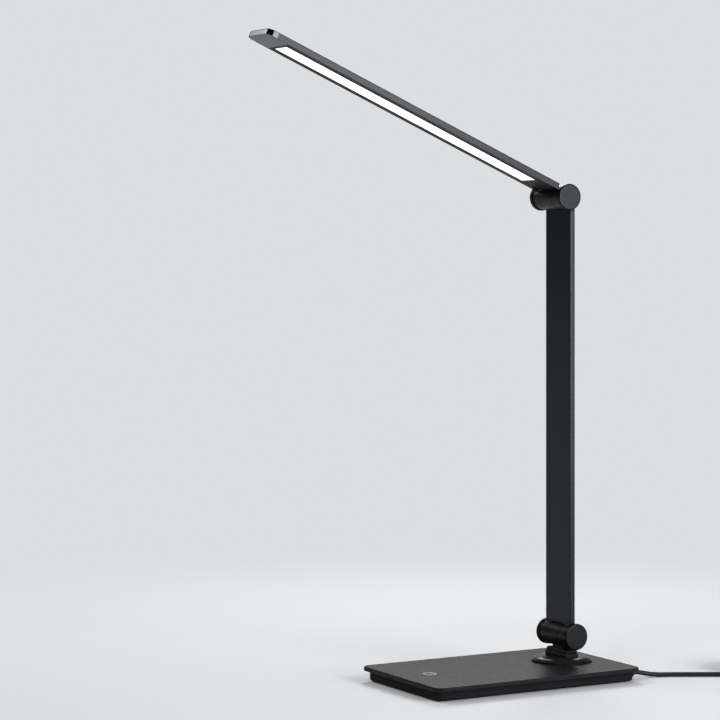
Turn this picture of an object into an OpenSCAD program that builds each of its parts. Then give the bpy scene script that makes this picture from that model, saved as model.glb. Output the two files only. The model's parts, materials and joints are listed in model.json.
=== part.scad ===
// Folding desk lamp with a slim light bar, a flat arm, two drum hinges and a weighted base.
// +Z is up. +X runs along the base toward the hinges, and the light bar reaches out toward -X.
// The hinge axes lie along Y. The origin is on the table, under the middle of the base.

/* [Base] */
// Length of the base cover along X
base_l = 184; // [178:1:230]
// Width of the base cover along Y
base_w = 115; // [112:1:150]
// Plan radius of the base corners
base_corner_r = 8; // [7:0.5:12]
// Thickness of the base cover at its edge
cover_t = 3.2; // [3:0.1:4.5]
// Height of the base tray under the cover
tray_h = 7.4; // [7.2:0.1:10]
// How far the tray's ends stand in from the cover's
tray_inset_x = 3.5; // [2:0.5:5]
// How far the tray's long sides stand in from the cover's
tray_inset_y = 5.5; // [3:0.5:7]
// Wall thickness of the tray
tray_wall = 2; // [1.6:0.1:2.4]
// Thickness of the tray's floor
tray_floor = 1.6; // [1.4:0.1:2]
// Thickness of the non-slip mat
mat_t = 1.6; // [1.4:0.1:2]
// Depth of the mat's seat in the tray
mat_seat = 0.8; // [0.6:0.1:0.8]
// Thickness of the steel weight
weight_t = 4.2; // [2:0.1:4.4]
// Distance from the base's free end to the touch mark
touch_in = 28; // [26:1:32]

/* [Swivel] */
// Distance from the base's hinge end to the swivel axis
swivel_in = 36; // [34:0.5:38]
// Radius of the domed turntable
turntable_r = 23.5; // [21:0.5:26]
// Height of the turntable above the cover
turntable_h = 3.9; // [3.6:0.1:4.6]
// Radius of the turntable's hollow stem
stem_r = 6.5; // [6:0.1:6.8]
// Turn to each side before the stop
swivel_range = 90; // [60:5:100]

/* [Hinges] */
// Height of the lower hinge axis above the base cover
lower_axis_h = 20.9; // [20.7:0.1:24]
// Distance between the two hinge axes
hinge_span = 340; // [280:5:400]
// Radius of the hinge barrels
barrel_r = 9.4; // [9:0.1:9.6]
// Radius of the end caps
cap_r = 10.2; // [9.6:0.1:10.4]
// Thickness of an end cap outside its cheek
cap_t = 4; // [3:0.1:4.5]
// Length of the middle knuckle
knuckle_l = 15.2; // [13:0.2:16]
// Radius of the hinge bolts
bolt_r = 2.5; // [2:0.1:2.8]
// Length of the bracket's foot along Y
foot_w = 28.5; // [22:0.5:30]
// Thickness of the bracket's foot along X
foot_t = 13; // [9.5:0.5:13.5]

/* [Arm] */
// Width of the arm along the hinge axes
arm_w = 34; // [32:0.5:38]
// Thickness of the arm
arm_t = 5; // [4.6:0.1:6]
// Wall thickness of the arm's tube
arm_wall = 1.1; // [0.9:0.1:1.2]
// Gap from a hinge axis to the end of the tube
arm_end = 11.4; // [11:0.1:13]
// How far the arm's middle lies in front of the lower axis
arm_ahead = 1.3; // [1:0.1:1.8]
// How far the upper axis lies in front of the arm's middle
upper_ahead = 4.9; // [4.6:0.1:6]

/* [Head] */
// Rise of the head above level, as it is shown
head_rise = 23.5; // [0:0.5:45]
// Reach of the head from the upper axis to its tip
head_reach = 285; // [240:1:320]
// Width of the head
head_w = 34.2; // [33:0.2:38]
// Height of the head's underside above the upper axis
head_low = 2; // [1.8:0.1:2.4]
// Thickness of the bezel under the head
bezel_t = 0.8; // [0.6:0.1:1]
// Height of the head's aluminium channel
channel_h = 4; // [3.8:0.1:4.6]
// Skin over the channel's pocket
channel_skin = 1; // [0.8:0.1:1.1]
// Plan radius of the head's tip corners
tip_r = 5; // [3:0.5:7]
// Length of the tip cap
tip_l = 8.5; // [7:0.5:10]
// Width of the lit strip
strip_w = 18.2; // [16:0.2:20]
// Distance from the upper axis to the start of the lit strip
strip_start = 28; // [27:1:34]
// Distance from the end of the lit strip to the head's tip
strip_tip_gap = 21.5; // [14:0.5:30]
// Spacing of the light-emitting chips
chip_pitch = 6.4; // [5:0.1:12]

/* [Cord] */
// Distance from the base's long side to the cord's outlet
cord_in = 18; // [17.5:0.5:30]
// Diameter of the supply cord
cord_d = 3.6; // [3.2:0.1:3.8]
// Windings in each of the coil's four layers
coil_turns = 2.5; // [1.5:1:2.5]
// Space between neighbouring windings
coil_gap = 0.5; // [0.45:0.05:0.6]

/* [Hidden] */
$fn = 64;

// Clearances
seat_gap = 0.1;     // between two bodies that slide on flat faces
slip = 0.05;        // radial, for pieces of one body that fit together
run_fit = 0.08;     // radial, for a pin that turns in its bore
swing_gap = 0.8;    // between a knuckle and the end of the arm that swings round it
groove_w = 0.5;     // of the shadow line behind an end cap

// Levels of the base, from the table up
tray_z = mat_t - mat_seat;
floor_z = tray_z + tray_floor;
cover_z = tray_z + tray_h;
base_top = cover_z + cover_t;
cover_skin = 1.8;
ceiling_z = base_top - cover_skin;

// Tray and cover in plan
tray_l = base_l - 2 * tray_inset_x;
tray_w = base_w - 2 * tray_inset_y;
tray_r = base_corner_r - 3;
tray_edge_r = 1.6;
cover_edge_r = 1.2;
room_l = tray_l - 2 * tray_wall;
room_w = tray_w - 2 * tray_wall;
room_r = tray_r - tray_wall;
lip_t = 1.2;
lip_h = 2;
mat_margin = 4;
mat_r = 2;
mat_l = tray_l - 2 * mat_margin;
mat_w = tray_w - 2 * mat_margin;

// Screws of the base: bosses under the cover, near the corners and halfway along the sides
post_r = 3;
boss_r = post_r + 1.2;
tray_screw_r = 1.25;
pilot_r = tray_screw_r + slip;
tray_head_r = 2.6;
tray_head_t = 1.2;
tray_screw_l = 5.5;
pad_h = 1.4;
post_x = room_l / 2 - post_r - 4.5;
post_y = room_w / 2 - post_r - 1.8;
mid_post_x = -18;
post_spots = [for (x = [-post_x, mid_post_x, post_x]) for (y = [-post_y, post_y]) [x, y]];

// Places along the base, from its two ends
swivel_x = base_l / 2 - swivel_in;
touch_x = touch_in - base_l / 2;

// Steel weight between the touch board and the swivel
weight_x0 = -post_x + post_r + 2;
weight_x1 = swivel_x - 26;
weight_w = 2 * (post_y - boss_r - slip);
notch_l = 22;
notch_w = 26;

// Touch board, hung under the cover by two studs
touch_l = 16;
touch_w = 20;
board_t = 1;
touch_spring_h = 1.7;
touch_z = ceiling_z - touch_spring_h - board_t;
stud_r = 1.6;

// Driver board on four stand-offs at the hinge end
driver_l = 13;
driver_w = 44;
driver_x = room_l / 2 - driver_l / 2 - 1;
driver_y = 4;
standoff_h = 0.8;
driver_z = floor_z + standoff_h;
driver_t = 1.2;

// Swivel
swivel_base = base_top + 3 * seat_gap;
stem_bore_r = stem_r - 2.5;
bush_wall = 1.4;
bush_r = stem_r + run_fit + bush_wall;
bush_flange_r = bush_r + 1.2;
bush_flange_t = 0.8;
collar_r = bush_flange_r + 1.6;
collar_z = ceiling_z - 2.2;
glide_r0 = turntable_r - 6;
glide_r1 = turntable_r - 2.5;
glide_t = 0.8;
rim_t = 0.8;
washer_t = 0.6;
washer_r = 9.5;
ring_t = 0.8;
stop_r = washer_r + 3.4;
stop_w = 3;
stop_post_r = 1.2;
stop_path_r = washer_r + 2;
stop_reach = swivel_range + 1.5 + asin((stop_w / 2 + stop_post_r) / stop_path_r);
washer_z = collar_z - bush_flange_t - seat_gap - washer_t;
ring_z = washer_z - ring_t;
nut_h = 2;
nut_z = ring_z - nut_h;
nut_r = 9.5;
stem_end = nut_z - 0.2;

// Hinge places
lower_z = base_top + lower_axis_h;
upper_z = lower_z + hinge_span;
arm_x = swivel_x - arm_ahead;
upper_x = arm_x - upper_ahead;

// Along a hinge axis, from its middle outward
disc_t = 0.45;
disc_y = knuckle_l / 2 + slip;
cheek_y0 = disc_y + disc_t + slip;
cheek_y1 = arm_w / 2;
sink_d = 4.6;
sink_r = 5.2;
sink_y = cheek_y1 - sink_d;
bolt_head_t = 2.6;
bolt_head_r = 4.4;
spring_t = 0.5;
hinge_nut_t = 2.6;
spigot_l = 1.2;
cap_edge_r = 1.1;

// Bracket: two stepped plates with rounded upper edges, a neck and the knuckle
foot_z = swivel_base + turntable_h;
step_h = 2.95;
step_in_x = 0.6;
step_in_y = 1;
foot_r = 1.5;
foot_edge_r = 1.1;
neck_r = 1.2;
neck_w = knuckle_l - 0.4;
neck_t = 8;
pad_r = norm([foot_t / 2 - foot_r, foot_w / 2 - foot_r]) + foot_r + 0.2;
bracket_screw_r = 1.5;
bracket_screw_y = stem_r + 3.1;
bracket_screw_head_r = 2.8;

// Arm
arm_edge_r = 1.2;
tube_z0 = lower_z + arm_end;
tube_z1 = upper_z - arm_end;
plug_l = 24;
plug_w = arm_w - 2 * arm_wall - 2 * slip;
plug_t = arm_t - 2 * arm_wall - 2 * slip;
wire_w = 4;
wire_t = 1.2;
fork_screw_r = 1.25;
fork_screw_y = 10;
fork_screw_z = 12;

// Head, in its own frame: the upper axis is the origin, the tip lies toward -X
head_end = barrel_r + 1.1;
channel_z = head_low + bezel_t;
head_top = channel_z + channel_h;
pocket_z = head_top - channel_skin;
channel_wall = 1.5;
pocket_w = head_w - 2 * channel_wall;
channel_end = head_reach - tip_l;
hinge_wall = 1.5;
tongue_w = knuckle_l - 0.4;
root_x0 = head_end + hinge_wall + slip;
root_l = 13;
root_t = pocket_z - channel_z - 2 * slip;
led_t = 0.8;
led_w = 12;
chip = [3.5, 2.8, 0.7];
flange_w = 1.2;
flange_t = 0.4;
strip_l = head_reach - strip_start - strip_tip_gap;
strip_mid = strip_start + strip_l / 2;
light_l = strip_l + 2 * flange_w;
chip_count = floor((strip_l - chip.x) / chip_pitch) + 1;
sole_start = strip_start + strip_l + 2 * flange_w;
head_screw_y = 10;
rail_t = 0.9;
bezel_w = head_w - 2 * rail_t - 2 * slip;
head_edge_r = 0.8;
head_t = bezel_t + channel_h;

// Cord: chosen points of its free stretch, counted from its outlet, then the rest in a coil
cord_r = cord_d / 2;
relief_x0 = tray_l / 2;
relief_l = 7.5;
relief_r = 3.1;
cord_y = cord_in - base_w / 2;
cord_z = 4.6;
table_z = cord_r;
outlet = [relief_x0 + relief_l, cord_y];
function from_outlet(v) = [for (p = v) [outlet.x + p.x, outlet.y + p.y, p.z]];
coil_in = outlet + [90, -42.1];
coil_heading = -29.5;
coil_heads = cord_d * [cos(coil_heading), sin(coil_heading), 0];
cord_points = concat(
    from_outlet([
        [0, 0, cord_z],
        [cord_d, 0, cord_z],
        [8.5, -0.4, 3.6],
        [14.5, -1.8, 2.4],
        [21.5, -4.4, table_z],
        [29.3, -8, table_z],
        [38, -12.6, table_z],
        [47, -17.7, table_z],
        [56, -22.8, table_z],
        [65, -27.9, table_z],
        [74, -33, table_z]
    ]),
    [[coil_in.x, coil_in.y, table_z] - coil_heads]
);

// Coil: four layers that spiral in and out by turns, entered along the free stretch's line
coil_pitch = cord_d + coil_gap;
coil_r = 26;
coil_layers = 4;
coil_steps = 24;
coil_mid = coil_in + coil_r * [-sin(coil_heading), cos(coil_heading)];
coil_top = table_z + (coil_layers - 1) * coil_pitch;
function coil_depth(t) = coil_turns - abs(coil_turns - (t - 2 * coil_turns * floor(t / (2 * coil_turns))));
function ease(u) = u <= 0 ? 0 : u >= 1 ? 1 : u * u * (3 - 2 * u);
function coil_climb(t, k = 1) = k >= coil_layers ? 0
    : ease(2 * (t - k * coil_turns) + 0.5) + coil_climb(t, k + 1);
function coil_spot(t) = let (
    a = coil_heading - 90 + 360 * t,
    r = coil_r - coil_pitch * coil_depth(t)
) [coil_mid.x + r * cos(a), coil_mid.y + r * sin(a), table_z + coil_pitch * coil_climb(t)];
coil_end = coil_layers * coil_turns;
coil_path = concat(
    [coil_spot(0) - coil_heads],
    [for (i = [0:coil_end * coil_steps]) coil_spot(i / coil_steps)],
    [coil_spot(coil_end) + coil_heads]
);

// Tail: from the top of the coil down to the plug, which lies flat on the table
plug_t_out = 8;
plug_w_out = 15;
plug_l_out = 22;
plug_nose_l = 5;
plug_z = plug_t_out / 2;
plug_in = outlet + [123, -52.1];
tail_points = concat(
    [
        [coil_in.x, coil_in.y, coil_top] + coil_heads,
        [coil_in.x, coil_in.y, coil_top] + 2 * coil_heads
    ],
    from_outlet([
        [102, -48.3, 11.6],
        [108, -50.4, 8],
        [114, -51.7, 5.2],
        [119, -52.1, plug_z]
    ]),
    [[plug_in.x, plug_in.y, plug_z]]
);
shell_l = 12;
shell_w = 12;
shell_t = 4.5;
shell_wall = 0.4;

// Length of a path, and the least space between a wound tube's windings
function total(v, i = 0) = i >= len(v) ? 0 : v[i] + total(v, i + 1);
function path_length(p) = total([for (i = [1:len(p) - 1]) norm(p[i] - p[i - 1])]);
function least_gap(p, skip) = min([for (i = [0:len(p) - skip - 1])
    min([for (j = [i + skip:len(p) - 1]) norm(p[j] - p[i])])]) - cord_d;
echo(least_gap_of_coil = least_gap(coil_path, coil_steps / 2));
echo(cord_length = path_length(cord_points) + path_length(coil_path) + path_length(tail_points));

// Swept tube: one ring of points at each point of the path
function step_of(p, i) = p[min(i + 1, len(p) - 1)] - p[max(i - 1, 0)];
function unit(v) = v / norm(v);
function ring_at(p, i, r, sides) = let (
    along = unit(step_of(p, i)),
    aside = unit(cross([0, 0, 1], along)),
    up = cross(along, aside)
) [for (k = [0:sides - 1]) let (a = 360 * (k + 0.5) / sides) p[i] + r * (cos(a) * aside + sin(a) * up)];

module swept(path, r, sides) {
    n = len(path);
    walls = [for (i = [0:n - 2]) for (k = [0:sides - 1]) for (half = [0, 1])
        let (a = i * sides + k, b = i * sides + (k + 1) % sides)
        half == 0 ? [a, b, b + sides] : [a, b + sides, a + sides]];
    first = [for (k = [1:sides - 2]) [0, k + 1, k]];
    last = [for (k = [1:sides - 2]) [(n - 1) * sides, (n - 1) * sides + k, (n - 1) * sides + k + 1]];
    polyhedron([for (i = [0:n - 1]) each ring_at(path, i, r, sides)], concat(walls, first, last));
}

// Plan and section shapes
module round_rect(l, w, r) {
    square([l - 2 * r, w], center = true);
    square([l, w - 2 * r], center = true);
    for (x = [-1, 1]) for (y = [-1, 1]) translate([x * (l / 2 - r), y * (w / 2 - r)]) circle(r);
}

// Section of a slab: w wide and t high, with its top and bottom edges rounded
module slab_section(w, t, top_r, low_r) {
    translate([-w / 2, low_r]) square([w, t - top_r - low_r]);
    translate([-w / 2 + top_r, 0]) translate([0, low_r]) square([w - 2 * top_r, t - low_r]);
    translate([-w / 2 + low_r, 0]) square([w - 2 * low_r, t - top_r]);
    for (x = [-1, 1]) {
        translate([x * (w / 2 - top_r), t - top_r]) circle(top_r);
        translate([x * (w / 2 - low_r), low_r]) circle(low_r);
    }
}

// Slab with round plan corners and rounded edges
module soft_slab(l, w, r, t, top_r, low_r) {
    rotate([90, 0, 90]) linear_extrude(l - 2 * r, center = true) slab_section(w, t, top_r, low_r);
    rotate([90, 0, 0]) linear_extrude(w - 2 * r, center = true) slab_section(l, t, top_r, low_r);
    for (x = [-1, 1]) for (y = [-1, 1]) translate([x * (l / 2 - r), y * (w / 2 - r), 0])
        rotate_extrude() intersection() {
            slab_section(2 * r, t, top_r, low_r);
            square([r + 1, t]);
        }
}

module plate(l, w, r, t) linear_extrude(t) round_rect(l, w, r);

// Round pieces along Y
module rod_y(r, y0, y1) translate([0, y0, 0]) rotate([-90, 0, 0]) cylinder(r = r, h = y1 - y0);

module ring(r0, r1, t) difference() {
    cylinder(r = r1, h = t);
    translate([0, 0, -1]) cylinder(r = r0, h = t + 2);
}

module at_swivel(z) translate([swivel_x, 0, z]) children();
module at_lower() translate([swivel_x, 0, lower_z]) children();
module at_upper() translate([upper_x, 0, upper_z]) children();
module at_head() at_upper() rotate([0, head_rise, 0]) children();
module at_posts(z) for (p = post_spots) translate([p.x, p.y, z]) children();

// ---- Base ----
module base_mat() color("#1b1b1d") plate(mat_l, mat_w, mat_r, mat_t);

module base_tray() color("#26272a") difference() {
    union() {
        difference() {
            translate([0, 0, tray_z]) soft_slab(tray_l, tray_w, tray_r, tray_h, 0.2, tray_edge_r);
            translate([0, 0, floor_z]) plate(room_l, room_w, room_r, tray_h);
        }
        at_posts(floor_z - slip) cylinder(r = boss_r, h = pad_h + slip);
        for (x = [-1, 1]) for (y = [-1, 1]) translate([driver_x + x * (driver_l / 2 - 2),
            driver_y + y * (driver_w / 2 - 2), floor_z - slip]) cylinder(r = 1.5, h = standoff_h + slip);
        // Ribs that hold the weight in place
        for (x = [weight_x0 - slip - 1.2, weight_x1 + slip]) for (y = [-1, 1])
            translate([x, y * weight_w / 4 - 10, floor_z - slip]) cube([1.2, 20, 3]);
    }
    translate([0, 0, tray_z - 1])
        plate(mat_l + 2 * slip, mat_w + 2 * slip, mat_r, mat_seat + 1);
    at_posts(tray_z) cylinder(r = pilot_r + slip, h = tray_h);
    at_posts(tray_z) cylinder(r = tray_head_r + slip, h = mat_seat + tray_head_t);
    translate([tray_l / 2 - tray_wall - 1, cord_y, cord_z]) rotate([0, 90, 0])
        cylinder(r = relief_r - 0.5 + slip, h = tray_wall + 2);
}

module base_weight() color("#8b8f94") difference() {
    translate([weight_x0, -weight_w / 2, floor_z]) cube([weight_x1 - weight_x0, weight_w, weight_t]);
    translate([weight_x0 - 1, -notch_w / 2, floor_z - 1])
        cube([touch_x + notch_l / 2 - weight_x0 + 1, notch_w, weight_t + 2]);
}

module base_cover() color("#303135") difference() {
    union() {
        difference() {
            translate([0, 0, cover_z]) soft_slab(base_l, base_w, base_corner_r, cover_t, cover_edge_r, 0.4);
            translate([0, 0, cover_z - 1])
                plate(room_l - 2 * lip_t, room_w - 2 * lip_t, room_r - lip_t, ceiling_z - cover_z + 1);
        }
        cover_lip();
        at_posts(floor_z + pad_h) cylinder(r = post_r, h = ceiling_z - floor_z - pad_h + slip);
        at_swivel(collar_z) cylinder(r = collar_r, h = ceiling_z - collar_z + slip);
        for (s = [-1, 1]) at_swivel(ring_z) rotate([0, 0, 180 + s * stop_reach])
            translate([stop_path_r, 0, 0]) cylinder(r = stop_post_r, h = ceiling_z - ring_z + slip);
        for (s = [-1, 1]) translate([touch_x, s * (touch_w / 2 - 2.5), touch_z - 0.2]) {
            cylinder(r = 0.9, h = ceiling_z - touch_z + 0.2);
            translate([0, 0, board_t + 0.2]) cylinder(r = stud_r, h = touch_spring_h + slip);
        }
    }
    at_posts(floor_z) cylinder(r = pilot_r, h = tray_screw_l + 1);
    at_swivel(collar_z - 1) cylinder(r = bush_r + slip, h = cover_t + tray_h);
    at_swivel(swivel_base - seat_gap - glide_t) ring(glide_r0 - slip, glide_r1 + slip, cover_t);
}

// Lip that drops inside the tray, cut away for the cord's relief
module cover_lip() difference() {
    translate([0, 0, cover_z - lip_h])
        plate(room_l - 2 * slip, room_w - 2 * slip, room_r - slip, lip_h + 0.2);
    translate([0, 0, cover_z - lip_h - 1])
        plate(room_l - 2 * lip_t, room_w - 2 * lip_t, room_r - lip_t, lip_h + 3);
    translate([room_l / 2 - 4, cord_y - 4.5, cover_z - lip_h - 1]) cube([8, 9, lip_h + 1]);
}

module tray_screws() color("#6d7075") at_posts(tray_z + mat_seat) difference() {
    union() {
        cylinder(r = tray_head_r, h = tray_head_t);
        cylinder(r = tray_screw_r, h = tray_head_t + tray_screw_l);
    }
    translate([0, 0, -1]) cylinder(r = 1.1, h = 1.6, $fn = 6);
}

module touch_board() color("#1f5a3a") difference() {
    translate([touch_x - touch_l / 2, -touch_w / 2, touch_z]) cube([touch_l, touch_w, board_t]);
    for (s = [-1, 1]) translate([touch_x, s * (touch_w / 2 - 2.5), touch_z - 1])
        cylinder(r = 0.9 + slip, h = board_t + 2);
}

module touch_spring() color("#b9bcc0") translate([touch_x, 0, touch_z + board_t])
    ring(3.4, 4.2, touch_spring_h);

module driver_board() color("#1f5a3a") {
    translate([driver_x - driver_l / 2, driver_y - driver_w / 2, driver_z])
        cube([driver_l, driver_w, driver_t]);
    for (y = [-1, 0.1]) translate([driver_x, driver_y + y * (driver_w / 2 - 8), driver_z + driver_t - slip])
        cylinder(r = 3.6, h = 2.4);
    translate([driver_x - 2.5, driver_y + driver_w / 2 - 14, driver_z + driver_t - slip]) cube([5, 6, 1.6]);
    translate([driver_x - 3, driver_y - driver_w / 2 + 16, driver_z + driver_t - slip]) cube([6, 4, 1.2]);
}

// Moulded strain relief: a ribbed sleeve outside, a neck in the wall and a flange inside
module cord_relief() color("#1c1c1e") {
    translate([relief_x0, cord_y, cord_z]) rotate([0, 90, 0]) {
        cylinder(r1 = relief_r, r2 = relief_r - 0.5, h = relief_l - 1);
        cylinder(r = relief_r - 0.9, h = relief_l);
        for (x = [1.6, 3.4, 5.2]) translate([0, 0, x]) cylinder(r = relief_r, h = 0.8);
        translate([0, 0, -tray_wall - slip]) cylinder(r = relief_r - 0.5, h = tray_wall + 1);
    }
    translate([relief_x0 - tray_wall - 1.2, cord_y - 3.4, floor_z + slip])
        cube([1.2, 6.8, 2 * (cord_z - floor_z - slip)]);
}

// ---- Swivel ----
module swivel_glide() color("#d8d5cc") at_swivel(swivel_base - seat_gap - glide_t)
    ring(glide_r0, glide_r1, glide_t);

module swivel_bush() color("#d8d5cc") at_swivel(collar_z - bush_flange_t) difference() {
    union() {
        cylinder(r = bush_r, h = base_top - collar_z + bush_flange_t - slip);
        cylinder(r = bush_flange_r, h = bush_flange_t);
    }
    translate([0, 0, -1]) cylinder(r = stem_r + run_fit, h = cover_t + tray_h);
}

// Half section of the domed top: a flat seat that rolls down to a thin rim
module dome_section() {
    run = turntable_r - pad_r;
    fall = turntable_h - rim_t;
    dome_r = (run * run + fall * fall) / (2 * fall);
    square([pad_r, turntable_h]);
    square([turntable_r, rim_t]);
    intersection() {
        translate([pad_r, turntable_h - dome_r]) circle(dome_r, $fn = 180);
        translate([pad_r - 1, 0]) square([run + 1, turntable_h]);
    }
}

module turntable() color("#232427") difference() {
    union() {
        at_swivel(swivel_base) rotate_extrude($fn = 96) dome_section();
        at_swivel(stem_end) cylinder(r = stem_r, h = swivel_base - stem_end + slip);
    }
    at_swivel(stem_end - 1) cylinder(r = stem_bore_r, h = swivel_base + turntable_h - stem_end - 0.8);
    for (y = [-1, 1]) at_swivel(swivel_base - 1) translate([0, y * bracket_screw_y, 0]) {
        cylinder(r = bracket_screw_r + slip, h = turntable_h + 2);
        cylinder(r = bracket_screw_head_r + slip, h = 2.2);
    }
}

module swivel_washer() color("#a9adb2") at_swivel(washer_z) ring(stem_r + slip, washer_r, washer_t);

// Keyed ring whose tab meets the cover's two stop posts
module stop_ring() color("#a9adb2") at_swivel(ring_z) difference() {
    union() {
        cylinder(r = washer_r, h = ring_t);
        translate([-stop_r, -stop_w / 2, 0]) cube([stop_r, stop_w, ring_t]);
    }
    translate([0, 0, -1]) cylinder(r = stem_r + slip, h = ring_t + 2);
}

module swivel_nut() color("#a9adb2") at_swivel(nut_z) difference() {
    cylinder(r = nut_r, h = nut_h, $fn = 6);
    translate([0, 0, -1]) cylinder(r = stem_r + slip, h = nut_h + 2);
}

// Cast bracket: a stepped foot, a neck and the lower hinge's middle knuckle
module hinge_bracket() color("#1d1e20") difference() {
    union() {
        at_swivel(foot_z) soft_slab(foot_t, foot_w, foot_r, step_h, foot_edge_r, 0.2);
        at_swivel(foot_z + step_h - slip) soft_slab(foot_t - 2 * step_in_x, foot_w - 2 * step_in_y,
            foot_r, step_h + slip, foot_edge_r, 0.2);
        at_swivel(foot_z + step_h) plate(neck_t, neck_w, neck_r, lower_z - foot_z - step_h);
        at_lower() rod_y(barrel_r, -knuckle_l / 2, knuckle_l / 2);
    }
    at_lower() rod_y(bolt_r + run_fit, -knuckle_l, knuckle_l);
    for (y = [-1, 1]) at_swivel(foot_z - 1) translate([0, y * bracket_screw_y, 0])
        cylinder(r = bracket_screw_r + slip, h = step_h + 1);
}

module bracket_screws() color("#6d7075") for (y = [-1, 1]) at_swivel(swivel_base)
    translate([0, y * bracket_screw_y, 0]) {
        cylinder(r = bracket_screw_head_r, h = 1.2);
        cylinder(r = bracket_screw_r, h = turntable_h + step_h);
    }

// ---- Hinge kit, about the Y axis ----
module hinge_bolt() difference() {
    union() {
        rod_y(bolt_head_r, -sink_y - bolt_head_t, -sink_y);
        rod_y(bolt_r, -sink_y - 1, sink_y + spring_t + hinge_nut_t);
    }
    translate([0, -sink_y - bolt_head_t - 1, 0]) rotate([-90, 0, 0]) cylinder(r = 2, h = 2.4, $fn = 6);
}

module hinge_nut() translate([0, sink_y + spring_t, 0]) rotate([-90, 0, 0]) difference() {
    cylinder(r = sink_r - 0.5, h = hinge_nut_t, $fn = 6);
    translate([0, 0, -1]) cylinder(r = bolt_r + slip / 2, h = hinge_nut_t + 2);
}

module hinge_spring() translate([0, sink_y, 0]) rotate([-90, 0, 0])
    ring(bolt_r + slip, sink_r - slip, spring_t);

module friction_discs() for (y = [disc_y, -disc_y - disc_t]) translate([0, y, 0]) rotate([-90, 0, 0])
    ring(bolt_r + slip, barrel_r - 0.6, disc_t);

// End caps: a disc with rounded rims behind a groove, and a spigot in the cheek's sink
module hinge_caps() for (s = [0, 1]) mirror([0, s, 0]) {
    translate([0, cheek_y1 + groove_w, 0]) rotate([-90, 0, 0]) rotate_extrude() intersection() {
        slab_section(2 * cap_r, cap_t - groove_w, cap_edge_r, 0.3);
        square([cap_r + 1, cap_t]);
    }
    rod_y(barrel_r - 0.8, cheek_y1, cheek_y1 + groove_w + slip);
    rod_y(sink_r - slip, cheek_y1 - spigot_l, cheek_y1 + slip);
}

// ---- Arm ----
module arm_section() round_rect(arm_t, arm_w, arm_edge_r);

module arm_tube() color("#2a2b2e") difference() {
    translate([arm_x, 0, tube_z0]) linear_extrude(tube_z1 - tube_z0) difference() {
        arm_section();
        square([arm_t - 2 * arm_wall, arm_w - 2 * arm_wall], center = true);
    }
    at_fork_screws() {
        cylinder(r = fork_screw_r + slip, h = arm_wall + 1);
        translate([0, 0, -1]) cylinder(r = 2.4, h = 1.6);
    }
}

// Fork screws enter from the back of the arm, two at each end
module at_fork_screws() for (z = [tube_z0 + fork_screw_z, tube_z1 - fork_screw_z]) for (y = [-1, 1])
    translate([arm_x + arm_t / 2, y * fork_screw_y, z]) rotate([0, -90, 0]) children();

// Fork: two cheeks on necks that carry on the arm's section, joined by a bridge that is hollowed
// round the knuckle, and a plug inside the tube that leaves room for the wire
module fork(ahead) difference() {
    union() {
        for (s = [-1, 1]) {
            rod_y(barrel_r, s > 0 ? cheek_y0 : -cheek_y1, s > 0 ? cheek_y1 : -cheek_y0);
            translate([ahead, 0, 0]) linear_extrude(arm_end) intersection() {
                arm_section();
                translate([0, s * (cheek_y0 + cheek_y1) / 2])
                    square([arm_t, cheek_y1 - cheek_y0], center = true);
            }
        }
        difference() {
            translate([ahead - arm_t / 2, -cheek_y0 - slip, 0]) cube([arm_t, 2 * (cheek_y0 + slip), arm_end]);
            rod_y(barrel_r + swing_gap, -cheek_y0, cheek_y0);
        }
        translate([ahead - plug_t / 2, -plug_w / 2, arm_end - slip]) cube([plug_t, plug_w, plug_l + slip]);
    }
    rod_y(bolt_r + slip, -arm_w, arm_w);
    rod_y(sink_r, -arm_w, -sink_y);
    rod_y(sink_r, sink_y, arm_w);
    translate([ahead - arm_t, -wire_w / 2 - 1, arm_end + 0.6]) cube([2 * arm_t, wire_w + 2, plug_l]);
    for (y = [-1, 1]) translate([ahead - arm_t, y * fork_screw_y, arm_end + fork_screw_z]) rotate([0, 90, 0])
        cylinder(r = fork_screw_r + slip, h = 2 * arm_t);
}

module lower_fork() color("#1d1e20") at_lower() fork(-arm_ahead);
module upper_fork() color("#1d1e20") at_upper() mirror([0, 0, 1]) fork(upper_ahead);

module fork_screws() color("#6d7075") at_fork_screws() difference() {
    union() {
        cylinder(r = 2.3, h = 0.6);
        cylinder(r = fork_screw_r, h = arm_t / 2 + 1.2);
    }
    translate([0, 0, -1]) cylinder(r = 0.9, h = 2, $fn = 6);
}

module arm_wire() color("#1a1a1a")
    translate([arm_x + arm_t / 2 - arm_wall - wire_t, -wire_w / 2, tube_z0 + 1])
        cube([wire_t, wire_w, tube_z1 - tube_z0 - 2]);

module lower_bolt() color("#9a9da2") at_lower() hinge_bolt();
module lower_nut() color("#9a9da2") at_lower() hinge_nut();
module lower_spring_washer() color("#b5b8bc") at_lower() hinge_spring();
module lower_friction_discs() color("#d8d5cc") at_lower() friction_discs();
module lower_caps() color("#2c2d30") at_lower() hinge_caps();
module upper_bolt() color("#9a9da2") at_upper() hinge_bolt();
module upper_nut() color("#9a9da2") at_upper() hinge_nut();
module upper_spring_washer() color("#b5b8bc") at_upper() hinge_spring();
module upper_friction_discs() color("#d8d5cc") at_upper() friction_discs();
module upper_caps() color("#2c2d30") at_upper() hinge_caps();

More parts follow.
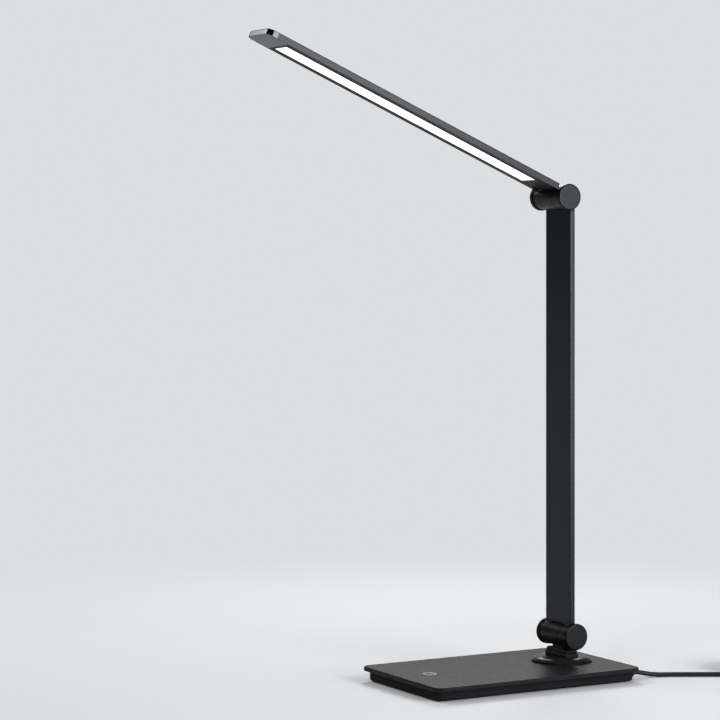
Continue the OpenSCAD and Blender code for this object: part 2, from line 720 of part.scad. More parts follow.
// ---- Head ----
// Knuckle of the upper hinge, with a tongue through the channel's end wall and a root inside it
module head_knuckle() color("#1d1e20") at_head() difference() {
    union() {
        rod_y(barrel_r, -knuckle_l / 2, knuckle_l / 2);
        translate([-head_end + slip, -tongue_w / 2, head_low + 0.2])
            cube([head_end, tongue_w, head_top - head_low - 0.4]);
        translate([-root_x0 - 1, -tongue_w / 2, channel_z + slip]) cube([root_x0, tongue_w, root_t]);
        translate([-root_x0 - root_l, -pocket_w / 2 + slip, channel_z + slip])
            cube([root_l, pocket_w - 2 * slip, root_t]);
    }
    rod_y(bolt_r + run_fit, -knuckle_l, knuckle_l);
    at_head_screws() translate([0, 0, -1]) {
        cylinder(r = 1.1 + slip, h = root_t + 2);
        cylinder(r = 2.2 + slip, h = 2.1);
    }
}

module at_head_screws() for (y = [-1, 1])
    translate([-root_x0 - root_l / 2, y * head_screw_y, channel_z + slip]) children();

module head_screws() color("#6d7075") at_head() at_head_screws() {
    cylinder(r = 2.2, h = 1.1 - slip);
    cylinder(r = 1.1, h = root_t + 0.6);
}

// Section of the channel: rounded upper edges, and side walls that carry on down beside the bezel
module channel_section() difference() {
    union() {
        translate([-head_w / 2, -bezel_t]) square([head_w, head_t - head_edge_r]);
        translate([-head_w / 2 + head_edge_r, 0]) square([head_w - 2 * head_edge_r, channel_h]);
        for (y = [-1, 1]) translate([y * (head_w / 2 - head_edge_r), channel_h - head_edge_r])
            circle(head_edge_r);
    }
    translate([-head_w / 2 + rail_t, -bezel_t - 1]) square([head_w - 2 * rail_t, bezel_t + 1]);
}

module head_channel() color("#3a3b3f") at_head() difference() {
    translate([-channel_end, 0, channel_z]) rotate([90, 0, 90]) linear_extrude(channel_end - head_end)
        channel_section();
    translate([-channel_end - 1, -pocket_w / 2, channel_z - 1])
        cube([channel_end - head_end - hinge_wall + 1, pocket_w, pocket_z - channel_z + 1]);
    translate([-head_end - hinge_wall - 1, -tongue_w / 2 - slip, channel_z - 1])
        cube([hinge_wall + 2, tongue_w + 2 * slip, pocket_z - channel_z + 1]);
    at_head_screws() cylinder(r = 1.1 + slip, h = root_t + 0.6 + slip);
}

// Bezel between the channel's side walls, cut out for the lit strip
module head_bezel() color("#17181a") at_head() difference() {
    translate([-sole_start + slip, -bezel_w / 2, head_low])
        cube([sole_start - slip - head_end, bezel_w, bezel_t]);
    translate([-strip_start - strip_l, -strip_w / 2, head_low - 1]) cube([strip_l, strip_w, bezel_t + 2]);
}

// Tip: a solid rounded end with a spigot in the channel and a sole that meets the bezel
module tip_cap() color("#222326") at_head() {
    intersection() {
        translate([-head_reach + tip_l + tip_r, 0, head_low])
            soft_slab(2 * (tip_l + tip_r), head_w, tip_r, head_t, head_edge_r, 0.2);
        translate([-head_reach - 1, -head_w, head_low - 1]) cube([tip_l + 1, 2 * head_w, head_t + 2]);
    }
    translate([-channel_end - 1, -bezel_w / 2, head_low])
        cube([channel_end + 1 - sole_start - slip, bezel_w, bezel_t]);
    translate([-channel_end - 1, -pocket_w / 2 + slip, channel_z + slip])
        cube([5, pocket_w - 2 * slip, pocket_z - channel_z - 2 * slip]);
}

module led_board() color("#e9e9e4") at_head()
    translate([-strip_mid - light_l / 2, -led_w / 2, pocket_z - led_t]) cube([light_l, led_w, led_t]);

module led_chips() color("#f3e9a8") at_head() for (i = [0:chip_count - 1])
    translate([-strip_mid + (i - (chip_count - 1) / 2) * chip_pitch - chip.x / 2, -chip.y / 2,
        pocket_z - led_t - chip.z]) cube(chip);

// White rails that slope from the board out to the edges of the diffuser
module reflector() color("#f4f4f2") at_head() for (s = [0, 1]) mirror([0, s, 0])
    translate([-strip_mid - light_l / 2, 0, 0]) rotate([90, 0, 90]) linear_extrude(light_l) polygon([
        [led_w / 2 + slip, pocket_z], [led_w / 2 + slip, pocket_z - led_t],
        [strip_w / 2, channel_z + flange_t], [strip_w / 2 + flange_w, channel_z + flange_t],
        [strip_w / 2 + flange_w, pocket_z]
    ]);

module diffuser() color("#fbfbf8") at_head() {
    translate([-strip_start - strip_l + slip, -strip_w / 2 + slip, head_low])
        cube([strip_l - 2 * slip, strip_w - 2 * slip, bezel_t + slip]);
    translate([-strip_mid - light_l / 2, -strip_w / 2 - flange_w, channel_z])
        cube([light_l, strip_w + 2 * flange_w, flange_t]);
}

// ---- Cord ----
module cord_run() color("#2b2f3a") swept(cord_points, cord_r, 8);
module cord_coil() color("#2b2f3a") swept(coil_path, cord_r, 6);
module cord_tail() color("#2b2f3a") swept(tail_points, cord_r, 8);

module plug_body() color("#1c1c1e") translate([plug_in.x, plug_in.y, 0]) {
    translate([0, 0, plug_z]) rotate([0, 90, 0])
        cylinder(r1 = cord_r + 0.5, r2 = cord_r + 1.2, h = plug_nose_l + 1);
    translate([plug_nose_l + plug_l_out / 2, 0, 0])
        soft_slab(plug_l_out, plug_w_out, 3, plug_t_out, 1.2, 0.8);
}

module plug_shell() color("#c9ccd0") translate([plug_in.x + plug_nose_l + plug_l_out, plug_in.y, plug_z])
    rotate([90, 0, 90]) {
        linear_extrude(shell_l) difference() {
            square([shell_w, shell_t], center = true);
            square([shell_w - 2 * shell_wall, shell_t - 2 * shell_wall], center = true);
        }
        translate([-shell_w / 2 + 1, -shell_t / 2 + shell_wall, 0]) cube([shell_w - 2, 1.6, shell_l - 1]);
        linear_extrude(1) square([shell_w - slip, shell_t - slip], center = true);
    }

base_mat();
base_tray();
base_weight();
base_cover();
tray_screws();
touch_board();
touch_spring();
driver_board();
cord_relief();
swivel_glide();
swivel_bush();
turntable();
swivel_washer();
stop_ring();
swivel_nut();
hinge_bracket();
bracket_screws();
arm_tube();
lower_fork();
upper_fork();
fork_screws();
arm_wire();
lower_bolt();
lower_nut();
lower_spring_washer();
lower_friction_discs();
lower_caps();
upper_bolt();
upper_nut();
upper_spring_washer();
upper_friction_discs();
upper_caps();
head_knuckle();
head_screws();
head_channel();
head_bezel();
tip_cap();
led_board();
led_chips();
reflector();
diffuser();
cord_run();
cord_coil();
cord_tail();
plug_body();
plug_shell();
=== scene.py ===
import json
import math

import bmesh
import bpy
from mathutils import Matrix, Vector


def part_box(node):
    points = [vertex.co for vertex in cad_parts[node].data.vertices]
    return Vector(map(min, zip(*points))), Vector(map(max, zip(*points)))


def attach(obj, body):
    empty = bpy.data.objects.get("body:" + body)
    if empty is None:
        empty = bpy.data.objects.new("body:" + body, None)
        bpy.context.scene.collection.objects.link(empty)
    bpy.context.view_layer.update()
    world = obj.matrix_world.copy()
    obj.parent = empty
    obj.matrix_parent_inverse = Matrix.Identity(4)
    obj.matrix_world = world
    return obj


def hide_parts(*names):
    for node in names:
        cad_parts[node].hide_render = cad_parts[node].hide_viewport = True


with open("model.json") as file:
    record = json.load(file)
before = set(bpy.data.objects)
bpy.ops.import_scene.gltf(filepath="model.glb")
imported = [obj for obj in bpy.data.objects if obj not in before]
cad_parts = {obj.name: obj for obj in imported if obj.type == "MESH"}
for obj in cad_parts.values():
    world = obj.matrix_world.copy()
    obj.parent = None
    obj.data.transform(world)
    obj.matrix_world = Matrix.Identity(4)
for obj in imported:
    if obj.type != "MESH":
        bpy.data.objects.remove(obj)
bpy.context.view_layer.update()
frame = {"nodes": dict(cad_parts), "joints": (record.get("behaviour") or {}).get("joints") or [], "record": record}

nodes = frame["nodes"]
MM = 0.001


def in_scene(name, data):
    """Puts a curve, mesh, lamp or camera in the scene as an object of the same name."""
    made = bpy.data.objects.new(name, data)
    bpy.context.scene.collection.objects.link(made)
    return made


def meshed(name, bm):
    """Turns a bmesh into an object in the scene."""
    mesh = bpy.data.meshes.new(name)
    bm.to_mesh(mesh)
    bm.free()
    return in_scene(name, mesh)


# ---- Camera: level, at the photograph's place, with the frame's middle below the horizon ----
CAMERA_AT = (-1.03163, -1.60116, 0.33747)
CAMERA_TURN_DEG = -29.53
SENSOR_MM = 36.0
LENS_MM = 123.77
CAMERA_SHIFT = -0.1638
FARTHEST_SEEN = 60.0

camera_data = bpy.data.cameras.new("camera")
camera_data.sensor_width = SENSOR_MM
camera_data.lens = LENS_MM
camera_data.shift_y = CAMERA_SHIFT
camera_data.clip_end = FARTHEST_SEEN
camera = in_scene("camera", camera_data)
camera.location = CAMERA_AT
camera.rotation_euler = (math.radians(90.0), 0.0, math.radians(CAMERA_TURN_DEG))
bpy.context.scene.camera = camera
bpy.context.scene.view_settings.view_transform = "Standard"


# ---- Supply cord: its route in millimetres, from the strain relief to the plug ----
CORD_D = 3.6
CORD_R = CORD_D / 2
CORD_ROUNDNESS = 4

# The coil: where the cord enters it and which way it heads there, then its layers of spiral turns.
COIL_IN = Vector((186.0, -81.6))
HEADING = math.radians(-29.5)
HEADS = CORD_D * Vector((math.cos(HEADING), math.sin(HEADING), 0.0))
COIL_R = 26.0
COIL_TURNS = 2.5
COIL_LAYERS = 4
COIL_GAP = 0.5
COIL_PITCH = CORD_D + COIL_GAP
COIL_STEPS = 24
COIL_TOP = CORD_R + (COIL_LAYERS - 1) * COIL_PITCH
COIL_MID = COIL_IN + COIL_R * Vector((-math.sin(HEADING), math.cos(HEADING)))
CLIMB_TURNS = 0.5

run_route = [
    (96.0, -39.5, 4.6),
    (99.6, -39.5, 4.6),
    (104.5, -39.9, 3.6),
    (110.5, -41.3, 2.4),
    (117.5, -43.9, CORD_R),
    (125.3, -47.5, CORD_R),
    (134.0, -52.1, CORD_R),
    (143.0, -57.2, CORD_R),
    (152.0, -62.3, CORD_R),
    (161.0, -67.4, CORD_R),
    (170.0, -72.5, CORD_R),
]
tail_route = [
    (198.0, -87.8, 11.6),
    (204.0, -89.9, 8.0),
    (210.0, -91.2, 5.2),
    (215.0, -91.6, 4.0),
    (219.0, -91.6, 4.0),
]


def ease(u):
    """Smooth step from 0 to 1."""
    u = min(max(u, 0.0), 1.0)
    return u * u * (3.0 - 2.0 * u)


def coil_spot(t):
    """Point of the coil after t turns. Its layers spiral in and out by turns, one above another."""
    period = 2.0 * COIL_TURNS
    depth = COIL_TURNS - abs(COIL_TURNS - (t - period * math.floor(t / period)))
    climb = sum(ease((t - k * COIL_TURNS) / CLIMB_TURNS + 0.5) for k in range(1, COIL_LAYERS))
    angle = HEADING - math.pi / 2 + 2.0 * math.pi * t
    reach = COIL_R - COIL_PITCH * depth
    return (
        COIL_MID.x + reach * math.cos(angle),
        COIL_MID.y + reach * math.sin(angle),
        CORD_R + COIL_PITCH * climb,
    )


def cord_route():
    """The run from the base, straight into the coil and out of its top layer, and the tail."""
    low = Vector((COIL_IN.x, COIL_IN.y, CORD_R))
    high = Vector((COIL_IN.x, COIL_IN.y, COIL_TOP))
    count = int(COIL_TURNS * COIL_LAYERS * COIL_STEPS)
    coil = [coil_spot(i / COIL_STEPS) for i in range(count + 1)]
    way_out = [tuple(high + HEADS), tuple(high + 2 * HEADS)]
    return [*run_route, tuple(low - HEADS), *coil, *way_out, *tail_route]


def supply_cord():
    """One curve along the whole route, as thick as the cord."""
    route = [tuple(c * MM for c in p) for p in cord_route()]
    curve = bpy.data.curves.new("supply_cord", "CURVE")
    curve.dimensions = "3D"
    # The section has a radius of 1, which each point's own radius brings down to the cord's.
    curve.bevel_depth = 1.0
    curve.bevel_resolution = CORD_ROUNDNESS
    curve.use_fill_caps = True
    spline = curve.splines.new("POLY")
    spline.points.add(len(route) - 1)
    for point, spot in zip(spline.points, route):
        point.co = (*spot, 1.0)
        point.radius = CORD_R * MM
    spline.use_smooth = True
    made = in_scene("supply_cord", curve)
    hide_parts("cord_run", "cord_coil", "cord_tail")
    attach(made, "base")
    return made


cord = supply_cord()


# ---- Finishes ----
# Scales count per metre. A span is the range of noise values that the roughness follows, and a
# sheen is how far the roughness then varies.
PER_M = 1000.0

# Anodised aluminium. The real grain is about 0.05 mm, too fine to show, so it is drawn coarser
# and kept faint. Die lines run the length of the extrusion.
GRAIN_MM = 2.5
GRAIN_DEPTH_M = 0.00003
GRAIN_STRENGTH = 0.06
GRAIN_SPAN = (0.3, 0.7)
GRAIN_SHEEN = 0.03
DIE_LINE_MM = 1.2
DIE_RUNS_PER_M = 12.0
DYE_EDGE = 0.7

# Moulded and coated surfaces. The mottle is about 17 mm across, as flow marks are.
MOTTLE_SCALE = 60.0
MOTTLE_SPAN = (0.35, 0.65)
MOTTLE_SHEEN = 0.03
TEXTURE_STRENGTH = 0.35
PLASTIC_IOR = 1.52
SILICONE_IOR = 1.43

# Plated steel: swirls of about 1.4 mm, coarser than the real scratches, which are too fine to show.
SWIRL_SCALE = 700.0
SWIRL_TWIST = 1.5
SWIRL_SHEEN = 0.07

# The lit strip has a haze of about 8 mm. The board's tracks are a pattern of 2 x 1 mm bricks.
HAZE_SCALE = 120.0
OPAL_ROUGH = 0.45
TRACK_SCALE = 240.0
TRACK_GAP = 0.03
MASK_ROUGH = 0.35


def linear(code):
    """Linear colour of an sRGB hex value."""
    parts = [int(code[i : i + 2], 16) / 255 for i in (1, 3, 5)]
    return (*(c / 12.92 if c <= 0.04045 else ((c + 0.055) / 1.055) ** 2.4 for c in parts), 1.0)


def feed(tree, node, sockets):
    """Gives each named socket of a node its value or its link."""
    for name, value in sockets.items():
        if isinstance(value, bpy.types.NodeSocket):
            tree.links.new(value, node.inputs[name])
        else:
            node.inputs[name].default_value = value


def add(tree, kind, sockets, **settings):
    """Adds a node, sets its properties, and feeds its sockets."""
    made = tree.nodes.new(kind)
    for name, value in settings.items():
        setattr(made, name, value)
    feed(tree, made, sockets)
    return made


def blank(name):
    """A material with only a surface and an output, and its Object coordinates."""
    made = bpy.data.materials.new(name)
    made.use_nodes = True
    tree = made.node_tree
    tree.nodes.clear()
    surface = tree.nodes.new("ShaderNodeBsdfPrincipled")
    out = tree.nodes.new("ShaderNodeOutputMaterial")
    tree.links.new(surface.outputs["BSDF"], out.inputs["Surface"])
    coords = tree.nodes.new("ShaderNodeTexCoord")
    return made, tree, surface, coords.outputs["Object"]


def anodised(name, deep, pale, rough, turn=(0.0, 0.0, 0.0), edge=DYE_EDGE):
    """Dyed aluminium: a metal even in colour, with faint lines along it.

    The dye dims it by edge at a glancing view.
    """
    made, tree, surface, place = blank(name)
    along = add(tree, "ShaderNodeMapping", {"Vector": place, "Rotation": turn})
    grain = add(
        tree, "ShaderNodeTexNoise",
        {"Vector": along.outputs["Vector"], "Scale": PER_M / GRAIN_MM, "Detail": 2.0},
    )
    across = PER_M / DIE_LINE_MM
    stretch = add(
        tree, "ShaderNodeMapping",
        {"Vector": along.outputs["Vector"], "Scale": (DIE_RUNS_PER_M, across, across)},
    )
    lines = add(
        tree, "ShaderNodeTexNoise",
        {"Vector": stretch.outputs["Vector"], "Scale": 1.0, "Detail": 2.0},
    )
    tone = add(
        tree, "ShaderNodeMixRGB",
        {"Fac": lines.outputs["Fac"], "Color1": linear(deep), "Color2": linear(pale)},
    )
    sheen = add(
        tree, "ShaderNodeMapRange",
        {"Value": grain.outputs["Fac"], "From Min": GRAIN_SPAN[0], "From Max": GRAIN_SPAN[1],
         "To Min": (1.0 - GRAIN_SHEEN) * rough, "To Max": (1.0 + GRAIN_SHEEN) * rough},
    )
    bump = add(
        tree, "ShaderNodeBump",
        {"Height": grain.outputs["Fac"], "Strength": GRAIN_STRENGTH, "Distance": GRAIN_DEPTH_M},
    )
    feed(tree, surface, {
        "Base Color": tone.outputs["Color"],
        "Roughness": sheen.outputs["Result"],
        "Normal": bump.outputs["Normal"],
        "Metallic": 1.0,
        "Specular Tint": (edge, edge, edge, 1.0),
    })
    return made


def moulded(name, deep, pale, rough, texture_mm, depth_mm, ior=PLASTIC_IOR, gloss=0.5):
    """Moulded or coated surface: one colour, slightly mottled, with a texture of the given size."""
    made, tree, surface, place = blank(name)
    mottle = add(tree, "ShaderNodeTexNoise", {"Vector": place, "Scale": MOTTLE_SCALE, "Detail": 4.0})
    texture = add(
        tree, "ShaderNodeTexNoise",
        {"Vector": place, "Scale": PER_M / texture_mm, "Detail": 2.0},
    )
    tone = add(
        tree, "ShaderNodeMixRGB",
        {"Fac": mottle.outputs["Fac"], "Color1": linear(deep), "Color2": linear(pale)},
    )
    sheen = add(
        tree, "ShaderNodeMapRange",
        {"Value": mottle.outputs["Fac"], "From Min": MOTTLE_SPAN[0], "From Max": MOTTLE_SPAN[1],
         "To Min": rough - MOTTLE_SHEEN, "To Max": rough + MOTTLE_SHEEN},
    )
    bump = add(
        tree, "ShaderNodeBump",
        {"Height": texture.outputs["Fac"], "Strength": TEXTURE_STRENGTH, "Distance": depth_mm * MM},
    )
    feed(tree, surface, {
        "Base Color": tone.outputs["Color"],
        "Roughness": sheen.outputs["Result"],
        "Normal": bump.outputs["Normal"],
        "IOR": ior,
        "Specular IOR Level": gloss,
    })
    return made


def plated(name, deep, pale, rough):
    """Plated steel: a metal with fine swirled scratches."""
    made, tree, surface, place = blank(name)
    swirl = add(
        tree, "ShaderNodeTexNoise",
        {"Vector": place, "Scale": SWIRL_SCALE, "Detail": 4.0, "Distortion": SWIRL_TWIST},
    )
    tone = add(
        tree, "ShaderNodeMixRGB",
        {"Fac": swirl.outputs["Fac"], "Color1": linear(deep), "Color2": linear(pale)},
    )
    sheen = add(
        tree, "ShaderNodeMapRange",
        {"Value": swirl.outputs["Fac"], "To Min": rough - SWIRL_SHEEN, "To Max": rough + SWIRL_SHEEN},
    )
    feed(tree, surface, {
        "Base Color": tone.outputs["Color"],
        "Roughness": sheen.outputs["Result"],
        "Metallic": 1.0,
    })
    return made


def lit_opal():
    """Opal acrylic over the lit chips: an even white glow with a faint haze."""
    made, tree, surface, place = blank("lit opal acrylic")
    haze = add(tree, "ShaderNodeTexNoise", {"Vector": place, "Scale": HAZE_SCALE, "Detail": 2.0})
    glow = add(
        tree, "ShaderNodeMixRGB",
        {"Fac": haze.outputs["Fac"], "Color1": linear("#fbfcff"), "Color2": linear("#ffffff")},
    )
    feed(tree, surface, {
        "Emission Color": glow.outputs["Color"],
        "Base Color": linear("#f2f2ee"),
        "Emission Strength": 1.0,
        "Roughness": OPAL_ROUGH,
    })
    return made


def solder_mask():
    """Green solder mask with faint tracks under it."""
    made, tree, surface, place = blank("green solder mask")
    tracks = add(
        tree, "ShaderNodeTexBrick",
        {"Vector": place, "Scale": TRACK_SCALE, "Mortar Size": TRACK_GAP,
         "Color1": linear("#0e4a2c"), "Color2": linear("#115433"), "Mortar": linear("#1d6b42")},
    )
    feed(tree, surface, {"Base Color": tracks.outputs["Color"], "Roughness": MASK_ROUGH})
    return made


along_arm = (0.0, math.radians(90.0), 0.0)
along_head = (0.0, math.radians(-23.5), 0.0)
# Each row: a name, the darker and the paler colour, and the roughness. Moulded rows go on with
# the texture's size and depth in millimetres.
finishes = {
    # A dark satin metal: soft long reflections that fade down the arm, with faint die lines.
    "arm_anodised": anodised(
        "black bead-blasted anodised aluminium", "#2d2e31", "#333437", 0.28, along_arm,
    ),
    # The same metal, blasted coarser: a soft grey side band, paler than the arm.
    "head_anodised": anodised(
        "dark grey anodised aluminium", "#2a2b2d", "#303133", 0.38, along_head,
    ),
    # Machined and buffed before dyeing: hard bright reflections beside black ones round the corners.
    "tip_black": anodised(
        "polished black anodised aluminium", "#3b3c3e", "#414244", 0.13, along_head, edge=0.85,
    ),
    # Turned faces: an even dark disc.
    "cap_black": anodised("satin black turned aluminium", "#262729", "#2b2c2e", 0.34),
    # Baked powder: near-black with a wide, weak sheen and a slight orange peel.
    "cast_black": moulded(
        "black powder-coated zinc casting", "#060607", "#0a0a0b", 0.42, 0.6, 0.02, gloss=0.18,
    ),
    # Moulded in a polished tool: a dark disc with two clear highlights in front of the foot.
    "turntable_black": moulded("polished black ABS", "#19191a", "#1d1d1e", 0.23, 0.8, 0.002, gloss=0.08),
    # A thin matte plate: a black line along each side of the lit strip.
    "bezel_black": moulded("matte black polycarbonate", "#040405", "#070708", 0.5, 0.5, 0.02, gloss=0.08),
    # Fine satin tool texture: dark from the side, paler at a glancing view, with a soft mirrored hinge.
    "cover_plastic": moulded("satin black ABS", "#1e1e20", "#222224", 0.28, 0.7, 0.006, gloss=0.04),
    # Coarser spark texture: a flat black that sets the tray back from the cover.
    "tray_plastic": moulded("spark-textured black ABS", "#1b1b1d", "#1f1f21", 0.6, 0.5, 0.04, gloss=0.04),
    # Soft rubber: flat dark grey under the base.
    "mat_rubber": moulded("black silicone rubber", "#0e0e10", "#141416", 0.75, 0.8, 0.05, ior=SILICONE_IOR),
    # Flexible moulding: a dull black with soft edges of light on its ribs.
    "soft_black": moulded("black flexible PVC", "#0c0c0e", "#121214", 0.5, 0.8, 0.03),
    # Extruded sheath: blue-black with one soft line of light along it.
    "cord_sheath": moulded("blue-black PVC sheath", "#101218", "#14171d", 0.45, 1.0, 0.02, gloss=0.25),
    # Over-moulded grip: fine texture, no clear reflection.
    "plug_plastic": moulded("fine-textured black PVC", "#0c0c0e", "#111113", 0.5, 0.6, 0.05),
    # Natural acetal: a warm off-white with a waxy sheen.
    "nylon": moulded("natural acetal", "#d9d5ca", "#e2dfd6", 0.4, 1.0, 0.02),
    # Dyed acetal: the hinges' friction discs read as black lines between their knuckles, from behind too.
    "black_acetal": moulded("black acetal", "#0b0b0c", "#101011", 0.4, 1.0, 0.02),
    # White lacquer over the strip board.
    "led_white": moulded("white solder mask", "#e6e7e4", "#eff0ee", 0.4, 0.8, 0.02),
    # Phosphor under clear resin: pale yellow squares.
    "led_chip": moulded("yellow phosphor", "#e8d277", "#f1dc8a", 0.5, 0.3, 0.02),
    # Diffuse white film: bright and even.
    "reflector_white": moulded("white reflector film", "#eeefed", "#f6f6f5", 0.6, 1.0, 0.01),
    # Rolled and zinc-plated plate: cool grey with a broken sheen.
    "weight_steel": plated("zinc-plated steel plate", "#8b8e93", "#a2a5a9", 0.42),
    # Small plated heads: smoother than the plate, with fine swirls.
    "screw_steel": plated("zinc-plated screw", "#7c7f84", "#989ba0", 0.35),
    # Nickel: a more neutral and smoother grey.
    "bolt_steel": plated("nickel-plated bolt", "#8d8f92", "#a8aaad", 0.3),
    # Ground spring strip: bright and slightly streaked.
    "spring_steel": plated("bare spring steel", "#9a9da1", "#b4b7ba", 0.3),
    # Drawn and plated sheet: the brightest metal on the lamp.
    "plug_metal": plated("nickel-plated shell", "#b9bbbd", "#cfd1d3", 0.22),
    "board": solder_mask(),
    "diffuser_opal": lit_opal(),
}
# Nodes whose finish differs from the rest of their slot.
own_finish = {
    "turntable": "turntable_black",
    "lower_friction_discs": "black_acetal",
    "upper_friction_discs": "black_acetal",
}

for part in frame["record"]["subparts"]:
    mesh = nodes[part["node"]].data
    mesh.materials.clear()
    mesh.materials.append(finishes[own_finish.get(part["node"], part["material_slot"])])
cord.data.materials.append(finishes["cord_sheath"])


# ---- Touch mark: a plain ring and bar, printed on the cover. Sizes in millimetres ----
MARK_R = 5.2
MARK_LINE = 0.9
MARK_BAR = 4.6
MARK_T = 0.04
MARK_GAP_DEG = 32.0
MARK_STEPS = 72


def verts_of(geom):
    """The vertices among what an operator returned."""
    return [v for v in geom if isinstance(v, bmesh.types.BMVert)]


def touch_mark():
    """Ring with a gap and a bar in the gap, raised by the thickness of the ink."""
    bm = bmesh.new()
    bmesh.ops.create_circle(bm, segments=MARK_STEPS, radius=MARK_R * MM)
    inner = bmesh.ops.extrude_edge_only(bm, edges=bm.edges[:])["geom"]
    shrink = (MARK_R - MARK_LINE) / MARK_R
    bmesh.ops.scale(bm, verts=verts_of(inner), vec=(shrink, shrink, 1.0))
    mouth = math.cos(math.radians(MARK_GAP_DEG))
    open_faces = [f for f in bm.faces if f.calc_center_median().normalized().x > mouth]
    bmesh.ops.delete(bm, geom=open_faces, context="FACES")
    bar = bmesh.ops.create_grid(bm, x_segments=4, y_segments=1, size=0.5)["verts"]
    bmesh.ops.scale(bm, verts=bar, vec=(MARK_BAR * MM, MARK_LINE * MM, 1.0))
    bmesh.ops.translate(bm, verts=bar, vec=(MARK_R * MM - 0.5 * MARK_BAR * MM, 0.0, 0.0))
    raised = bmesh.ops.extrude_face_region(bm, geom=bm.faces[:])["geom"]
    bmesh.ops.translate(bm, verts=verts_of(raised), vec=(0.0, 0.0, MARK_T * MM))
    bmesh.ops.recalc_face_normals(bm, faces=bm.faces[:])
    board_low, board_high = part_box("touch_board")
    cover_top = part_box("base_cover")[1][2]
    middle = [0.5 * (low + high) for low, high in zip(board_low, board_high)]
    bmesh.ops.translate(bm, verts=bm.verts[:], vec=(middle[0], middle[1], cover_top))
    made = meshed("touch_mark", bm)
    # Pad-printed silver ink: a pale satin line on the dark cover.
    made.data.materials.append(
        moulded("silver pad-printing ink", "#a9abad", "#b7b9bb", 0.45, 0.4, 0.01)
    )
    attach(made, "base")


touch_mark()


# ---- Painted shade: a dark strip that closes the slot between the knuckle and the arm's end in the upper fork ----
# Millimetres from the hinge's axis: how far behind it the strip stands, and how far below it
# the strip's lower and upper edges lie.
SHADE_STRIP_X = 3.15
SHADE_STRIP_LOW = 10.1
SHADE_STRIP_HIGH = 9.25
# Its width and length, and how much its edges are eased.
SHADE_STRIP_W = 1.1
SHADE_STRIP_L = 16.2
SHADE_STRIP_EDGE = 0.12


def slot_painted_shade():
    """Dark strip with eased edges that stands in the fork's hollow, clear of the knuckle: painted shade in the
    slot.
    """
    hinge = next(j["pos_m"] for j in frame["joints"] if j["name"] == "head_tilt")
    bm = bmesh.new()
    verts = bmesh.ops.create_cube(bm, size=1.0)["verts"]
    bmesh.ops.scale(bm, verts=verts, vec=(SHADE_STRIP_W * MM, SHADE_STRIP_L * MM, (SHADE_STRIP_LOW - SHADE_STRIP_HIGH) * MM))
    bmesh.ops.bevel(
        bm, geom=bm.edges[:], offset=SHADE_STRIP_EDGE * MM,
        affect="EDGES", segments=2, profile=0.5, material=-1,
    )
    height = hinge[2] - 0.5 * (SHADE_STRIP_LOW + SHADE_STRIP_HIGH) * MM
    bmesh.ops.translate(bm, verts=bm.verts[:], vec=(hinge[0] + SHADE_STRIP_X * MM, hinge[1], height))
    bmesh.ops.recalc_face_normals(bm, faces=bm.faces[:])
    made = meshed("slot_painted_shade", bm)
    # Painted shade: a near-black matte strip with no gloss to speak of, so the slot reads as a dark line.
    made.data.materials.append(
        moulded("matte black painted-shade strip", "#0a0a0a", "#101010", 0.95, 0.3, 0.08, gloss=0.02)
    )
    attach(made, "arm")


# The strip paints the slot's shade as a dark line.
slot_painted_shade()


# ---- Floor, surroundings and lamps ----
BACKDROP = "#dcdee0"
FLOOR = "#d9dadb"
FLOOR_ROUGH = 0.9
FLOOR_GLOSS = 0.1
FLOOR_R = 20.0
# Distances at which the floor starts to pass into the backdrop, and has passed into it.
FADE_NEAR = 0.25
FADE_FAR = 0.8

# The room: its light on the object, then what metal mirrors of it. That is pale straight behind
# the lamp and dim all round. The cosines are those of the angle from straight behind.
ROOM = "#868789"
BEHIND = (0.493, 0.87, 0.0)
DIM_COS = 0.72
PALE_COS = 0.98
MIRROR_DIM = 0.035
MIRROR_PALE = 0.55


def pale_floor():
    """Plain pale table top, which passes into the plain backdrop well away from the lamp."""
    bm = bmesh.new()
    bmesh.ops.create_circle(bm, cap_ends=True, segments=96, radius=FLOOR_R)
    made = meshed("floor", bm)
    paint, tree, surface, place = blank("pale matte table top")
    feed(tree, surface, {
        "Base Color": linear(FLOOR),
        "Roughness": FLOOR_ROUGH,
        "Specular IOR Level": FLOOR_GLOSS,
    })
    away = add(tree, "ShaderNodeVectorMath", {0: place}, operation="LENGTH")
    fade = add(
        tree, "ShaderNodeMapRange",
        {"Value": away.outputs["Value"], "From Min": FADE_NEAR, "From Max": FADE_FAR},
        interpolation_type="SMOOTHSTEP",
    )
    plain = add(tree, "ShaderNodeEmission", {"Color": linear(BACKDROP)})
    both = add(
        tree, "ShaderNodeMixShader",
        {0: fade.outputs["Result"], 1: surface.outputs["BSDF"], 2: plain.outputs["Emission"]},
    )
    out = next(n for n in tree.nodes if n.type == "OUTPUT_MATERIAL")
    feed(tree, out, {"Surface": both.outputs["Shader"]})
    made.data.materials.append(paint)


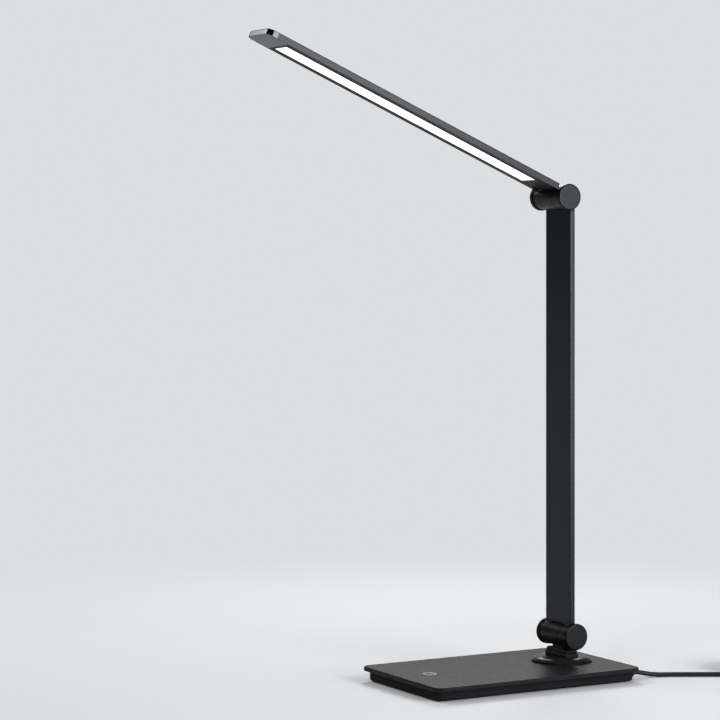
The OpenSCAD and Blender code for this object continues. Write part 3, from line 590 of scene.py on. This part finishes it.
def surroundings():
    """Pale backdrop seen by the camera, and a room that is pale behind the lamp and dim all round."""
    world = bpy.data.worlds.new("room")
    bpy.context.scene.world = world
    world.use_nodes = True
    tree = world.node_tree
    tree.nodes.clear()
    coords = tree.nodes.new("ShaderNodeTexCoord")
    toward = add(
        tree, "ShaderNodeVectorMath",
        {0: coords.outputs["Generated"], 1: BEHIND}, operation="DOT_PRODUCT",
    )
    shade = add(
        tree, "ShaderNodeMapRange",
        {"Value": toward.outputs["Value"], "From Min": DIM_COS, "From Max": PALE_COS,
         "To Min": MIRROR_DIM, "To Max": MIRROR_PALE},
        interpolation_type="SMOOTHSTEP",
    )
    mirrored = add(tree, "ShaderNodeBackground", {"Color": shade.outputs["Result"]})
    room = add(tree, "ShaderNodeBackground", {"Color": linear(ROOM)})
    seen = add(tree, "ShaderNodeBackground", {"Color": linear(BACKDROP)})
    path = tree.nodes.new("ShaderNodeLightPath")
    glossy = add(
        tree, "ShaderNodeMath",
        {0: path.outputs["Is Glossy Ray"], 1: path.outputs["Is Transmission Ray"]},
        operation="MAXIMUM",
    )
    inside = add(
        tree, "ShaderNodeMixShader",
        {0: glossy.outputs["Value"], 1: room.outputs["Background"],
         2: mirrored.outputs["Background"]},
    )
    both = add(
        tree, "ShaderNodeMixShader",
        {0: path.outputs["Is Camera Ray"], 1: inside.outputs["Shader"],
         2: seen.outputs["Background"]},
    )
    add(tree, "ShaderNodeOutputWorld", {"Surface": both.outputs["Shader"]})


def softbox(name, place, aim, size, watts):
    """Rectangular soft lamp, hidden from the camera."""
    lamp = bpy.data.lights.new(name, "AREA")
    lamp.shape = "RECTANGLE"
    lamp.size, lamp.size_y = size
    lamp.energy = watts
    made = in_scene(name, lamp)
    made.location = place
    made.rotation_euler = (Vector(aim) - Vector(place)).to_track_quat("-Z", "Y").to_euler()
    made.visible_camera = False


pale_floor()
surroundings()
# Each lamp stands near where one face of the object mirrors it toward the camera.
# On the arm's narrow face, the head's side band, the end caps and the front of the base.
softbox("side_softbox", (0.41, -1.22, 0.545), (0.05, 0.0, 0.4), (0.65, 1.0), 19.0)
# On the tip cap.
softbox("tip_softbox", (-1.165, 1.015, 1.286), (-0.22, 0.0, 0.49), (1.5, 0.34), 14.5)
# From behind: a sheen on the cover, and the two highlights on the disc.
softbox("back_softbox", (0.52, 0.82, 0.76), (0.056, 0.0, 0.015), (0.58, 0.5), 7.0)
# A weak light from above, on the left, which only softens the shadows.
softbox("left_softbox", (-0.75, -0.5, 1.5), (0.0, 0.0, 0.3), (0.35, 0.35), 3.2)


bpy.context.view_layer.update()
